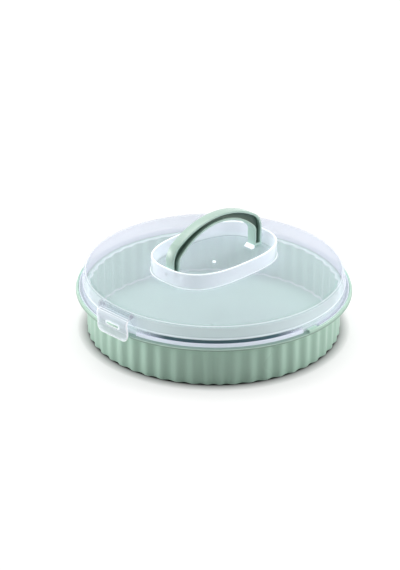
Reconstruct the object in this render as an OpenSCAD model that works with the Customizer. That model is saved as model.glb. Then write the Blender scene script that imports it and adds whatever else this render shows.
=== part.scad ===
// Round cake carrier: fluted tub, clear lid, folding handle and side clip.
// Millimetres, +Z up, origin in the middle of the underside of the tub.
// The X axis runs along the handle, with the clip at its -X end.

/* [Tub] */
// Radius of the rim, the widest circle of the carrier
rim_radius = 160; // [150:0.5:180]
// How far the rim reaches out past the crests of the flutes
rim_reach = 12.8; // [12:0.1:15]
// Height of the fluted wall under the rim plate
tub_height = 49.7; // [40:0.1:90]
// Thickness of the tub wall
tub_wall = 1.8; // [1.4:0.1:2.4]
// Thickness of the tub floor
floor_thickness = 2.4; // [1.8:0.1:4]
// Number of flutes around the tub
flute_count = 50; // [40:1:60]
// Depth of a flute from crest to valley
flute_depth = 2.3; // [1:0.1:3]
// Width of the two narrow flutes in the middle of the near side, in degrees
narrow_flute = 5.4; // [5:0.1:7]
// Height of the foot that lifts the fluted wall off the ground
foot_gap = 1.2; // [0.8:0.1:1.6]
// Distance from the valleys of the flutes in to the foot
foot_step = 4.5; // [3:0.5:8]
// Radius of the rounded lower edge of the wall
foot_round = 0.8; // [0.5:0.1:1.5]
// Radius of the fillet between floor and wall inside
floor_fillet = 5; // [3:0.5:8]

/* [Rim] */
// Thickness of the rim plate
rim_thickness = 2.2; // [1.8:0.1:3]
// Height of the raised lip above the rim plate
lip_height = 3; // [2:0.1:4]
// Thickness of the raised lip at its top
lip_wall = 1.6; // [1.2:0.1:1.8]
// Angle round the rim from the clip to the tab of the far lip
tab_start = 87.5; // [80:0.5:95]
// Angle over which the tab reaches inwards
tab_angle = 5; // [3:0.5:8]
// Angle covered by the far lip, which starts at the tab
far_lip_angle = 69.5; // [50:0.5:80]
// Angle covered by the near lip, which ends at the clip
near_lip_angle = 57; // [40:0.5:75]

/* [Lid] */
// Thickness of the lid
lid_wall = 1.8; // [1.4:0.1:2.2]
// Gap between the underside of the lid and the rim
seat_gap = 0.3; // [0.2:0.05:0.5]
// Distance from the rim edge in to the upper skirt
skirt_inset = 9; // [8.6:0.1:10]
// How far the lower skirt stands out past the upper one
skirt_step = 1.4; // [1:0.1:1.8]
// Height of the lower skirt
step_height = 8.8; // [7:0.1:9.2]
// Height of the whole skirt up to the dome
skirt_height = 23.3; // [22:0.1:24]
// Radius of the rounded corner between skirt and dome
corner_round = 2.8; // [2.2:0.1:4]
// Rise of the dome from the corner to its middle
dome_rise = 9.9; // [9:0.1:12]
// How far the grip bead stands out past the lower skirt
bead_reach = 2.1; // [1:0.1:2.6]
// Height of the grip bead
bead_height = 4.1; // [3:0.1:5]
// Gap between the lid flange and the raised lip around it
flange_gap = 0.8; // [0.5:0.1:1.2]
// Height of the lid flange inside the raised lips
flange_height = 2.2; // [1.6:0.1:2.6]

/* [Collar] */
// Length of the collar around the handle, along the handle
collar_length = 155.6; // [152:0.1:170]
// Width of the collar, across the handle
collar_width = 107; // [106:0.1:125]
// Squareness of the collar outline, where 2 is an ellipse
collar_power = 2.7; // [2.4:0.1:3.4]
// Height of the collar top above the ground, also the closed height
closed_height = 101.5; // [100:0.5:105]
// Depth of the dish inside the collar under the middle of the dome
dish_drop = 2.7; // [2:0.1:3.5]

/* [Handle] */
// Width of the handle across its grip
handle_width = 11.6; // [10:0.1:12]
// Height of the handle pins above the floor of the dish
pivot_height = 10.3; // [10:0.1:11]
// Reach of the handle from its pins to the top of the grip
handle_reach = 50.9; // [46:0.1:51]
// Thickness of the outer flange of the handle
flange_outer = 2.6; // [2:0.1:3]
// Thickness of the inner flange of the handle
flange_inner = 2.9; // [2:0.1:3.2]
// Thickness of the web between the flanges
web_thickness = 2.2; // [1.6:0.1:3]
// Radius of the handle pins
handle_pin = 2; // [1.5:0.1:2.5]
// Radial clearance of the pins in their bores
pin_clearance = 0.05; // [0.03:0.01:0.08]

/* [Clip] */
// Width of the clip along the rim
clip_width = 48.5; // [40:0.5:56]
// Length of the clip from its hinge line down to its lower edge
clip_length = 31; // [29:0.5:33]
// Thickness of the clip flap
clip_wall = 1.9; // [1.6:0.1:2.1]
// Radius of the rounded lower corners of the clip
clip_corner = 8; // [4:0.5:10]
// Radius of the barrel along the top of the clip
barrel_radius = 3.6; // [3.3:0.05:3.7]
// Radius of the clip pins
clip_pin = 1.5; // [1.2:0.1:1.8]
// How far the face of the clip stands out from its hinge line
clip_reach = 7.7; // [7.2:0.1:8.2]
// Width of the slot in the clip
slot_width = 20.4; // [16:0.2:26]
// Height of the slot in the clip
slot_height = 3.9; // [3.6:0.1:4.2]
// Height of the hook above the rim plate
hook_height = 8; // [7.6:0.1:8.4]
// Thickness of the hook where it fills the slot
hook_thickness = 2.6; // [2.2:0.1:2.8]
// Thickness of the lid cheeks that hold the clip pins
cheek_thickness = 2.1; // [1.8:0.1:2.6]
// Side gap between the clip and the cheeks
cheek_gap = 0.3; // [0.25:0.05:0.5]

/* [Hidden] */
// Every part name that the file can draw
// Part to draw, or all of them
// Smoothness of revolved shapes
$fn = 180;
// Crest radius of the flutes and radius of the foot
crest_radius = rim_radius - rim_reach;
foot_radius = crest_radius - flute_depth - foot_step;
// Line about which the flutes are mirrored, halfway from the clip to the tab
flute_axis = 225;
// Heights of the rim plate and of the lid
rim_top = tub_height + rim_thickness;
lid_bottom = rim_top + seat_gap;
step_top = lid_bottom + step_height;
dome_edge = lid_bottom + skirt_height;
dome_top = dome_edge + dome_rise;
dish_floor = dome_top - dish_drop;
// Radii of the raised lip and of the lid skirts
lip_radius = rim_radius - 2.8;
skirt_radius = rim_radius - skirt_inset;
step_radius = skirt_radius + skirt_step;
bead_radius = step_radius + bead_reach;
corner_radius = skirt_radius - corner_round;
// Sphere of which the dome is a cap
dome_sphere = (corner_radius * corner_radius + dome_rise * dome_rise) / (2 * dome_rise);
// Half sizes of the collar, outside and inside
collar_a = collar_length / 2;
collar_b = collar_width / 2;
inner_a = collar_a - lid_wall;
inner_b = collar_b - lid_wall;
// Handle pins and outline, all measured from the pins
pivot_z = dish_floor + pivot_height;
leg_outer = inner_a - 3.7;
arch_radius = 112.6;
shoulder_radius = 24.6;
under_radius = 82.5;
under_corner = 9.1;
handle_depth = 11.6;
crown_depth = 10.5;
heel_radius = pivot_height - 0.3;
heel_drop = pivot_height - 1.2;
boss_radius = handle_pin + 2.2;
// Clip hinge line, measured from the middle of the carrier
hinge_r = skirt_radius + 3.5;
hinge_z = dome_edge - 0.4;
clip_face = hinge_r + clip_reach;
window_half = clip_width / 2 + 1.3;
window_r = rim_radius - 3.2;
hook_half = slot_width / 2 - 1.5;
slot_low = rim_top + hook_height - (hook_thickness + slot_height) / 2 - 0.05;
// Angles on the rim, counted from the clip at -X towards the tab
window_angle = asin(window_half / rim_radius);
near_lip_from = 360 - window_angle - 0.6 - near_lip_angle;

// Phase of the flutes: a narrow one on each side of the mirror line, then even ones
function flutePhase(a) =
    let (u = abs((a - flute_axis + 540) % 360 - 180))
    u < narrow_flute ? 360 * u / narrow_flute
                     : 360 * (u - narrow_flute) * (flute_count / 2 - 1) / (180 - narrow_flute);

// Points of the fluted outline, moved in by the given amount
function fluteLine(inset, steps = 10) = [
    for (i = [0 : flute_count * steps - 1])
        let (a = 360 * i / (flute_count * steps),
             r = crest_radius - inset - flute_depth / 2 * (1 + cos(flutePhase(a))))
        [r * cos(a), r * sin(a)]
];

// Points of a rounded oval with half sizes a and b
function ovalLine(a, b, steps = 160) = [
    for (i = [0 : steps - 1])
        let (t = 360 * (i + 0.5) / steps, c = cos(t), s = sin(t))
        [a * sign(c) * pow(abs(c), 2 / collar_power), b * sign(s) * pow(abs(s), 2 / collar_power)]
];

// Points of an arc from angle a0 to a1, both from the vertical
function arcLine(cx, cy, r, a0, a1, steps) = [
    for (i = [0 : steps])
        let (a = a0 + (a1 - a0) * i / steps)
        [cx + r * sin(a), cy + r * cos(a)]
];

// Height of the dome surface at radius r, moved down by drop
function domeAt(r, drop) =
    dome_top - dome_sphere + sqrt(pow(dome_sphere - drop, 2) - r * r);

// Half outline of an arch: a wide arc, a shoulder arc and a straight leg
function archHalf(crown, leg, big, small, steps = 12) =
    let (cx = leg - small,
         cy = crown - big + sqrt(pow(big - small, 2) - cx * cx),
         split = atan2(cx, cy - crown + big))
    concat(arcLine(0, crown - big, big, 0, split, steps),
           arcLine(cx, cy, small, split, 90, steps));

// Flat shape under an arch, down to the level low
module archShape(crown, leg, big, small, low) {
    half = archHalf(crown, leg, big, small);
    last = len(half) - 1;
    polygon(concat(
        [for (i = [0 : last]) half[i]],
        [[leg, low], [-leg, low]],
        [for (i = [0 : last - 1]) [-half[last - i][0], half[last - i][1]]]
    ));
}

// Solid of a flat shape standing across the handle, half to each side
module acrossHandle(width) {
    rotate([90, 0, 0])
        translate([0, 0, -width / 2])
            linear_extrude(width) children();
}

// Ring sector with the given profile, from angle a0 to a1
module sector(a0, a1) {
    rotate([0, 0, a0])
        rotate_extrude(angle = a1 - a0) children();
}

// Solid of a flat shape standing across the rim, half to each side
module alongRim(width) {
    rotate([90, 0, 0])
        translate([0, 0, -width / 2])
            linear_extrude(width) children();
}

// Rim plate with its chamfered edge
module rimPlate() {
    rotate_extrude()
        polygon([
            [crest_radius - flute_depth - tub_wall - 1, tub_height],
            [crest_radius - 2, tub_height - 1.4],
            [rim_radius - 1.2, tub_height - 0.3],
            [rim_radius, tub_height + 0.3],
            [rim_radius, rim_top - 0.7],
            [rim_radius - 0.8, rim_top],
            [crest_radius - flute_depth - tub_wall - 1, rim_top]
        ]);
}

// Raised lip on the rim, from angle a0 to a1
module raisedLip(a0, a1) {
    sector(a0, a1)
        polygon([
            [lip_radius, rim_top - 0.5],
            [rim_radius - 0.3, rim_top - 0.8],
            [lip_radius + lip_wall + 0.2, rim_top + lip_height - 1],
            [lip_radius + lip_wall - 0.4, rim_top + lip_height],
            [lip_radius + 0.3, rim_top + lip_height],
            [lip_radius, rim_top + lip_height - 0.3]
        ]);
}

// Tab that reaches inwards from the start of the far lip
module inwardTab() {
    sector(tab_start, tab_start + tab_angle)
        polygon([
            [step_radius + 0.8, rim_top + lip_height - 1.2],
            [lip_radius + 0.6, rim_top + lip_height - 1.2],
            [lip_radius + 0.6, rim_top + lip_height + 0.4],
            [step_radius + 1.2, rim_top + lip_height + 0.4],
            [step_radius + 0.8, rim_top + lip_height]
        ]);
}

// Upright lug on the rim with the hook that the clip slot catches
module hookLug() {
    top = rim_top + hook_height;
    alongRim(2 * hook_half)
        polygon([
            [window_r - 2.2, tub_height + 0.4],
            [window_r + 0.1, tub_height + 0.4],
            [window_r + 0.1, top - hook_thickness],
            [clip_face - clip_wall - 0.4, top - hook_thickness],
            [clip_face - 1, top - hook_thickness + 0.8],
            [clip_face - 1, top - 0.6],
            [clip_face - 1.6, top],
            [window_r - 2.2, top]
        ]);
}

module tub() {
    color([0.62, 0.73, 0.66]) {
        difference() {
            union() {
                intersection() {
                    linear_extrude(rim_top - 0.5) polygon(fluteLine(0));
                    rotate_extrude()
                        polygon(concat(
                            [[0, 0], [foot_radius, 0], [foot_radius, foot_gap]],
                            [for (i = [0 : 4])
                                let (a = 22.5 * i)
                                [crest_radius - foot_round + foot_round * sin(a),
                                 foot_gap + foot_round - foot_round * cos(a)]],
                            [[crest_radius + 1, foot_gap + foot_round],
                             [crest_radius + 1, rim_top],
                             [0, rim_top]]
                        ));
                }
                difference() {
                    rimPlate();
                    rotate([0, 0, 180])
                        translate([window_r, -window_half, tub_height - 5])
                            cube([20, 2 * window_half, 30]);
                }
                rotate([0, 0, 180]) {
                    raisedLip(tab_start, tab_start + far_lip_angle);
                    raisedLip(near_lip_from, near_lip_from + near_lip_angle);
                    inwardTab();
                    hookLug();
                }
            }
            translate([0, 0, floor_thickness])
                linear_extrude(tub_height + 20) polygon(fluteLine(tub_wall));
        }
        translate([0, 0, floor_thickness - 0.5])
            cylinder(r = 3, h = 1.1, $fn = 32);
        intersection() {
            translate([0, 0, floor_thickness - 0.2])
                linear_extrude(floor_fillet + 2) polygon(fluteLine(tub_wall / 2));
            filletRing();
        }
    }
}

// Ring that rounds the corner between floor and wall inside the tub
module filletRing() {
    inner = crest_radius - flute_depth - tub_wall - floor_fillet;
    translate([0, 0, floor_thickness - 0.1])
        rotate_extrude()
            polygon(concat(
                [[inner, -0.1]],
                [for (i = [0 : 6])
                    let (a = 15 * i)
                    [inner + floor_fillet * sin(a), 0.1 + floor_fillet * (1 - cos(a))]],
                [[crest_radius, floor_fillet + 0.1], [crest_radius, -0.1]]
            ));
}

// Dome and both skirts of the lid, as one revolved sheet
module lidSheet() {
    start = collar_b - 12;
    rise = 14;
    rotate_extrude()
        polygon(concat(
            [for (i = [0 : rise])
                let (r = start + (corner_radius - start) * i / rise)
                [r, domeAt(r, 0)]],
            [for (i = [1 : 6])
                let (a = 15 * i)
                [corner_radius + corner_round * sin(a),
                 dome_edge - corner_round + corner_round * cos(a)]],
            [[skirt_radius, step_top + 1.1],
             [step_radius - 0.3, step_top],
             [step_radius, step_top - 0.3],
             [step_radius, lid_bottom],
             [step_radius - lid_wall, lid_bottom],
             [step_radius - lid_wall, step_top - 1.4],
             [skirt_radius - lid_wall, step_top - 0.2]],
            [for (i = [0 : 5])
                let (a = 90 - 18 * i)
                [corner_radius + (corner_round - lid_wall) * sin(a),
                 dome_edge - corner_round + (corner_round - lid_wall) * cos(a)]],
            [for (i = [1 : rise])
                let (r = corner_radius + (start - corner_radius) * i / rise)
                [r, domeAt(r, lid_wall)]]
        ));
}

// Grip bead on the lower skirt where the rim has no lip, from angle a0 to a1
module gripBead(a0, a1) {
    sector(a0, a1)
        polygon([
            [step_radius - 0.4, lid_bottom],
            [bead_radius - 0.3, lid_bottom],
            [bead_radius, lid_bottom + 0.3],
            [bead_radius, lid_bottom + bead_height - 1.3],
            [bead_radius - 0.8, lid_bottom + bead_height - 0.3],
            [step_radius - 0.4, lid_bottom + bead_height]
        ]);
}

// Flat flange on the lower skirt inside a raised lip, from angle a0 to a1
module lidFlange(a0, a1) {
    edge = lip_radius - flange_gap;
    low = lid_bottom + 0.2;
    sector(a0, a1)
        polygon([
            [step_radius - 0.4, low],
            [edge - 0.4, low],
            [edge, low + 0.4],
            [edge, low + flange_height - 0.4],
            [edge - 0.4, low + flange_height],
            [step_radius - 0.4, low + flange_height]
        ]);
}

// Beads and flanges round the whole lid, free of the clip and of the tab
module skirtRing() {
    beyond = tab_start + far_lip_angle;
    gripBead(window_angle + 1.6, tab_start - 2);
    lidFlange(tab_start + tab_angle + 2, beyond);
    gripBead(beyond - 0.5, near_lip_from + 0.5);
    lidFlange(near_lip_from, 360 - window_angle - 1.6);
}

// One cheek of the clip hinge, without its bore
module cheekShape() {
    alongRim(cheek_thickness)
        union() {
            translate([hinge_r, hinge_z]) circle(r = barrel_radius - 0.2, $fn = 48);
            polygon([
                [skirt_radius - 2.9, step_top + 2],
                [skirt_radius + 0.6, step_top + 1.6],
                [hinge_r + 2.6, hinge_z - 3.6],
                [hinge_r + barrel_radius - 0.3, hinge_z - 0.6],
                [hinge_r, hinge_z],
                [hinge_r - 2.2, hinge_z + 2.6],
                [skirt_radius - 2.9, dome_edge - 1.8]
            ]);
        }
}

// Both cheeks of the clip hinge
module cheekPair() {
    place = clip_width / 2 + cheek_gap + cheek_thickness / 2;
    for (s = [-1, 1])
        translate([0, s * place, 0]) cheekShape();
}

// Bores for the clip pins
module cheekBores() {
    reach = clip_width / 2 + cheek_gap + cheek_thickness + 1;
    for (s = [-1, 1])
        translate([hinge_r, s * reach, hinge_z])
            rotate([s * 90, 0, 0])
                cylinder(r = clip_pin + pin_clearance, h = cheek_thickness + 1.2, $fn = 48);
}

// Low wedge on the dish floor next to a handle foot
module wedgeLug() {
    inside = leg_outer - handle_depth - 0.5;
    rotate([90, 0, 0])
        translate([0, 0, -6.2])
            linear_extrude(12.4)
                polygon([
                    [inside - 5, dish_floor - 0.4],
                    [inside, dish_floor - 0.4],
                    [inside, dish_floor + 3.4],
                    [inside - 0.8, dish_floor + 3.4],
                    [inside - 5, dish_floor]
                ]);
}

module lid() {
    color([0.85, 0.9, 0.94, 0.35])
        difference() {
            union() {
                difference() {
                    rotate([0, 0, 180]) lidSheet();
                    translate([0, 0, dish_floor - 20])
                        linear_extrude(60) polygon(ovalLine(inner_a + 0.6, inner_b + 0.6));
                }
                translate([0, 0, dish_floor - lid_wall])
                    linear_extrude(lid_wall) polygon(ovalLine(inner_a + 0.9, inner_b + 0.9));
                translate([0, 0, dish_floor - lid_wall])
                    difference() {
                        linear_extrude(closed_height - dish_floor + lid_wall)
                            polygon(ovalLine(collar_a, collar_b));
                        translate([0, 0, 0.5])
                            linear_extrude(60) polygon(ovalLine(inner_a, inner_b));
                    }
                rotate([0, 0, 180]) {
                    skirtRing();
                    cheekPair();
                }
                for (s = [0, 180])
                    rotate([0, 0, s]) {
                        wedgeLug();
                        translate([leg_outer + 0.3, 0, pivot_z])
                            rotate([0, 90, 0])
                                cylinder(r = boss_radius, h = inner_a - leg_outer, $fn = 48);
                    }
                translate([0, 0, dish_floor - 0.5])
                    cylinder(r = 2, h = 1.1, $fn = 32);
            }
            rotate([0, 0, 180]) cheekBores();
            for (s = [0, 180])
                rotate([0, 0, s])
                    translate([leg_outer - 1, 0, pivot_z])
                        rotate([0, 90, 0])
                            cylinder(r = handle_pin + pin_clearance, h = 5.8, $fn = 48);
        }
}

module handle() {
    crown = pivot_z + handle_reach;
    foot = pivot_z - heel_drop;
    leg_inner = leg_outer - handle_depth;
    color([0.66, 0.79, 0.71]) {
        difference() {
            intersection() {
                acrossHandle(handle_width)
                    difference() {
                        archShape(crown, leg_outer, arch_radius, shoulder_radius, foot);
                        archShape(crown - crown_depth, leg_inner,
                                  under_radius, under_corner, foot - 5);
                    }
                union() {
                    translate([-100, -50, pivot_z])
                        cube([200, 100, 100]);
                    translate([-100, 0, pivot_z])
                        rotate([0, 90, 0])
                            cylinder(r = heel_radius, h = 200, $fn = 120);
                }
            }
            for (s = [-1, 1])
                translate([0, s * (handle_width + web_thickness) / 2, 0])
                    acrossHandle(handle_width)
                        difference() {
                            archShape(crown - flange_outer, leg_outer - flange_outer,
                                      arch_radius - flange_outer,
                                      shoulder_radius - flange_outer, foot + 2);
                            archShape(crown - crown_depth + flange_inner,
                                      leg_inner + flange_inner,
                                      under_radius + flange_inner,
                                      under_corner + flange_inner, foot);
                        }
        }
        for (s = [-1, 1])
            translate([s * (leg_outer - 1), 0, pivot_z])
                rotate([0, s * 90, 0])
                    cylinder(r = handle_pin, h = 5.4, $fn = 48);
    }
}

// Outer and inner line of the flap: distance inside its face, and share of its length
flap_outer = [
    [4.2, 0.98], [3.5, 0.92], [1.6, 0.86], [0.4, 0.78], [0, 0.68], [0.3, 0.58],
    [0.9, 0.48], [1.3, 0.35], [1, 0.24], [0.8, 0.14], [1.2, 0]
];
flap_inner = [
    [1.2, 0], [0.8, 0.14], [1, 0.24], [1.3, 0.35], [0.9, 0.48], [0.3, 0.58],
    [0.1, 0.68], [0.5, 0.76], [1.4, 0.82], [3.1, 0.88], [4.3, 0.93]
];

// Section of the clip flap below its barrel, in the plane across the rim
module flapSection() {
    base = hinge_z - clip_length;
    polygon(concat(
        [for (p = flap_outer) [clip_face - p[0], base + clip_length * p[1]]],
        [for (p = flap_inner) [clip_face - clip_wall - p[0], base + clip_length * p[1]]]
    ));
}

// Front outline of the clip with its rounded lower corners
module flapFront() {
    low = hinge_z - clip_length;
    half = clip_width / 2;
    tall = 2 * clip_length;
    union() {
        translate([-half, low + clip_corner]) square([clip_width, tall]);
        translate([-half + clip_corner, low]) square([clip_width - 2 * clip_corner, tall]);
        for (s = [-1, 1])
            translate([s * (half - clip_corner), low + clip_corner])
                circle(r = clip_corner, $fn = 72);
    }
}

// Clip as it closes over the hook of the tub, drawn at the +X side
module clipShape() {
    half = clip_width / 2;
    reach = half + cheek_gap + cheek_thickness - 0.2;
    color([0.9, 0.93, 0.96, 0.6])
        difference() {
            union() {
                intersection() {
                    alongRim(clip_width) flapSection();
                    rotate([90, 0, 90]) linear_extrude(2 * rim_radius) flapFront();
                }
                translate([hinge_r, half, hinge_z])
                    rotate([90, 0, 0])
                        cylinder(r = barrel_radius, h = clip_width, $fn = 72);
                translate([hinge_r, reach, hinge_z])
                    rotate([90, 0, 0])
                        cylinder(r = clip_pin, h = 2 * reach, $fn = 48);
            }
            translate([clip_face - clip_reach / 2, -slot_width / 2, slot_low])
                cube([clip_reach, slot_width, slot_height]);
        }
}

module clip() {
    rotate([0, 0, 180]) clipShape();
}

tub();
lid();
handle();
clip();
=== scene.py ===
import bpy
import bmesh
from math import atan2, cos, degrees, hypot, pi, radians, sin, sqrt, tau
from mathutils import Matrix, Quaternion, Vector


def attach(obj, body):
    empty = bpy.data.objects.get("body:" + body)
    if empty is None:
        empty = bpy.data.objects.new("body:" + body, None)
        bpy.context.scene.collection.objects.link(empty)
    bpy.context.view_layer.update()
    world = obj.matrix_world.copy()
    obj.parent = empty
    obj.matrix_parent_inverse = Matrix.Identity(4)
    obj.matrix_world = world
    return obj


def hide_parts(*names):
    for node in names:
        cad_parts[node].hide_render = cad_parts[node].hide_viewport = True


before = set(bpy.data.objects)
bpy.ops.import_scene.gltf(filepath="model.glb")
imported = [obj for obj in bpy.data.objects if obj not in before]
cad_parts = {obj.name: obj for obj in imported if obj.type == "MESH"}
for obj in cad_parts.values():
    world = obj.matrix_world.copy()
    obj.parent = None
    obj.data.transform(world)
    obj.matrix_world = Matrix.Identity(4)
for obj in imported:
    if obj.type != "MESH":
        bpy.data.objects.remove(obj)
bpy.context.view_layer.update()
mm = 0.001
# points closer than this (m) are made one
weld = 1e-7


def shade(red, green, blue, alpha=1.0):
    # a colour as it reads on screen, 0 to 255, made linear
    def linear(v):
        v /= 255
        return v / 12.92 if v <= 0.04045 else ((v + 0.055) / 1.055) ** 2.4
    return linear(red), linear(green), linear(blue), alpha


def finishObject(bm, name, smooth=30):
    bmesh.ops.remove_doubles(bm, verts=bm.verts, dist=weld)
    bmesh.ops.recalc_face_normals(bm, faces=bm.faces)
    mesh = bpy.data.meshes.new(name)
    bm.to_mesh(mesh)
    bm.free()
    mesh.shade_smooth()
    mesh.set_sharp_from_angle(angle=radians(smooth))
    piece = bpy.data.objects.new(name, mesh)
    bpy.context.scene.collection.objects.link(piece)
    return piece


def combine(piece, tool, how, smooth=30):
    # one boolean, applied at once, and the tool is thrown away
    step = piece.modifiers.new("combine", "BOOLEAN")
    step.operation, step.solver, step.object = how, "EXACT", tool
    graph = bpy.context.evaluated_depsgraph_get()
    made = bpy.data.meshes.new_from_object(piece.evaluated_get(graph))
    piece.modifiers.clear()
    old, piece.data = piece.data, made
    made.name = piece.name
    bpy.data.meshes.remove(old)
    bpy.data.objects.remove(tool, do_unlink=True)
    made.shade_smooth()
    made.set_sharp_from_angle(angle=radians(smooth))


def joinInto(bm, other):
    # adds the other bmesh as a loose shell
    part = bpy.data.meshes.new("part")
    other.to_mesh(part)
    other.free()
    bm.from_mesh(part)
    bpy.data.meshes.remove(part)


def spinProfile(points, steps, start, end):
    # a closed outline of (radius, height) in mm, with its haze and painted light as a third value, made a solid
    # sector
    bm = bmesh.new()
    hazeAndPaintedLight = bm.verts.layers.float.new("hazeAndPaintedLight")
    ring = []
    for point in points:
        vert = bm.verts.new((point[0] * mm, 0, point[1] * mm))
        vert[hazeAndPaintedLight] = point[2] if len(point) > 2 else 0
        ring.append(vert)
    face = bm.faces.new(ring)
    bmesh.ops.rotate(bm, verts=ring, cent=(0, 0, 0), matrix=Matrix.Rotation(radians(start), 3, "Z"))
    bmesh.ops.spin(bm, geom=ring + face.edges[:] + [face], cent=(0, 0, 0), axis=(0, 0, 1),
                   angle=radians(end - start), steps=steps, use_merge=False, use_duplicate=False)
    bmesh.ops.recalc_face_normals(bm, faces=bm.faces)
    return bm


def whiten(bm, value):
    hazeAndPaintedLight = bm.verts.layers.float.get("hazeAndPaintedLight") or bm.verts.layers.float.new("hazeAndPaintedLight")
    for vert in bm.verts:
        vert[hazeAndPaintedLight] = value


def slab(points, width):
    # points are (x, z) in mm, made solid along Y, half to each side
    bm = bmesh.new()
    face = bm.faces.new([bm.verts.new((x * mm, -width / 2 * mm, z * mm)) for x, z in points])
    out = bmesh.ops.extrude_face_region(bm, geom=[face])
    moved = [g for g in out["geom"] if isinstance(g, bmesh.types.BMVert)]
    bmesh.ops.translate(bm, verts=moved, vec=(0, width * mm, 0))
    bmesh.ops.recalc_face_normals(bm, faces=bm.faces)
    return bm


def rod(radius, length, centre, axis, segments=48):
    bm = bmesh.new()
    bmesh.ops.create_cone(bm, cap_ends=True, cap_tris=False, segments=segments,
                          radius1=radius * mm, radius2=radius * mm, depth=length * mm)
    turn = Vector((0, 0, 1)).rotation_difference(Vector(axis)).to_matrix()
    bmesh.ops.rotate(bm, verts=bm.verts, cent=(0, 0, 0), matrix=turn)
    bmesh.ops.translate(bm, verts=bm.verts, vec=Vector(centre) * mm)
    return bm


def turnToClip(bm):
    # from the +X side, where shapes are drawn, round to the clip at -X
    bmesh.ops.rotate(bm, verts=bm.verts, cent=(0, 0, 0), matrix=Matrix.Rotation(pi, 3, "Z"))


def bothEnds(bm):
    # adds a copy turned half round, for the other foot of the handle
    copy = bmesh.ops.duplicate(bm, geom=bm.verts[:] + bm.edges[:] + bm.faces[:])
    verts = [g for g in copy["geom"] if isinstance(g, bmesh.types.BMVert)]
    bmesh.ops.rotate(bm, verts=verts, cent=(0, 0, 0), matrix=Matrix.Rotation(pi, 3, "Z"))


def softenEdges(bm, width, angle=35, segments=2, where=None):
    edges = [e for e in bm.edges if len(e.link_faces) == 2 and e.calc_face_angle(0) > radians(angle)
             and (where is None or where(e))]
    bmesh.ops.bevel(bm, geom=edges, offset=width * mm, offset_type="OFFSET", segments=segments,
                    profile=0.5, affect="EDGES", material=-1, clamp_overlap=True)


def dress(piece, body, node, material):
    piece.data.materials.clear()
    piece.data.materials.append(material)
    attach(piece, body)
    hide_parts(node)


def mouldGroup():
    # faint mottling and ripple of moulded plastic, from Object coordinates
    group = bpy.data.node_groups.new("mouldedSurface", "ShaderNodeTree")
    face = group.interface
    for label, value in (("Grain Size", 60.0), ("Roughness", 0.3), ("Roughness Spread", 0.1)):
        face.new_socket(label, in_out="INPUT", socket_type="NodeSocketFloat").default_value = value
    for label in ("Roughness", "Height", "Mottle"):
        face.new_socket(label, in_out="OUTPUT", socket_type="NodeSocketFloat")
    nodes, links = group.nodes, group.links
    entry, leave = nodes.new("NodeGroupInput"), nodes.new("NodeGroupOutput")
    place = nodes.new("ShaderNodeTexCoord")
    fine = nodes.new("ShaderNodeTexNoise")
    fine.inputs["Detail"].default_value = 3
    broad = nodes.new("ShaderNodeTexNoise")
    broad.inputs["Scale"].default_value = 14
    broad.inputs["Detail"].default_value = 2
    spread = nodes.new("ShaderNodeMapRange")
    spread.inputs["From Min"].default_value = 0.3
    spread.inputs["From Max"].default_value = 0.7
    lowest, highest = nodes.new("ShaderNodeMath"), nodes.new("ShaderNodeMath")
    lowest.operation, highest.operation = "SUBTRACT", "ADD"
    for step in (lowest, highest):
        links.new(entry.outputs["Roughness"], step.inputs[0])
        links.new(entry.outputs["Roughness Spread"], step.inputs[1])
    links.new(place.outputs["Object"], fine.inputs["Vector"])
    links.new(place.outputs["Object"], broad.inputs["Vector"])
    links.new(entry.outputs["Grain Size"], fine.inputs["Scale"])
    links.new(broad.outputs["Fac"], spread.inputs["Value"])
    links.new(lowest.outputs[0], spread.inputs["To Min"])
    links.new(highest.outputs[0], spread.inputs["To Max"])
    links.new(spread.outputs["Result"], leave.inputs["Roughness"])
    links.new(fine.outputs["Fac"], leave.inputs["Height"])
    links.new(broad.outputs["Fac"], leave.inputs["Mottle"])
    return group


mould = mouldGroup()

greenPlasticValues = {
    "colour": shade(182, 215, 197), "pale": shade(185, 217, 200),
    # painted light runs from -1, painted shade deep in a groove, to 1, a painted highlight line
    "paintedShade": shade(62, 90, 76), "paintedHighlight": shade(232, 244, 240),
    "roughness": 0.3, "roughnessSpread": 0.03, "grain": 90.0, "bump": 0.03, "bumpDistance": 0.0004, "ior": 1.49,
}
handlePlasticValues = dict(
    greenPlasticValues, colour=shade(184, 211, 198), pale=shade(187, 213, 201), roughness=0.26, grain=110.0)
lidPlasticValues = {
    # veil over what lies behind, white where it is milky or carries a painted highlight, and painted shade in the gap
    # above the bead
    "veil": shade(212, 211, 229), "white": shade(231, 238, 240), "paintedDark": shade(88, 120, 130),
    # cover of one surface seen straight on, of one seen edge on, and of a milky one or one with painted light
    "cover": 0.08, "coverEdge": 0.55, "coverMilk": 0.85,
    # painted glow of milky parts, in place of light that haze carries from behind, and light that one surface lets
    # through
    "glow": 0.9, "lightThrough": (0.945, 0.935, 0.975, 1),
    "roughness": 0.1, "ior": 1.49, "specular": 0.12, "edgePower": 3.0, "paintedGlowPower": 2.0,
}
clipPlasticValues = dict(
    lidPlasticValues, veil=shade(188, 203, 214), white=shade(250, 252, 254), cover=0.06, coverEdge=0.5,
    coverMilk=0.95, glow=0.3, lightThrough=(0.74, 0.76, 0.78, 1), roughness=0.25)


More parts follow.
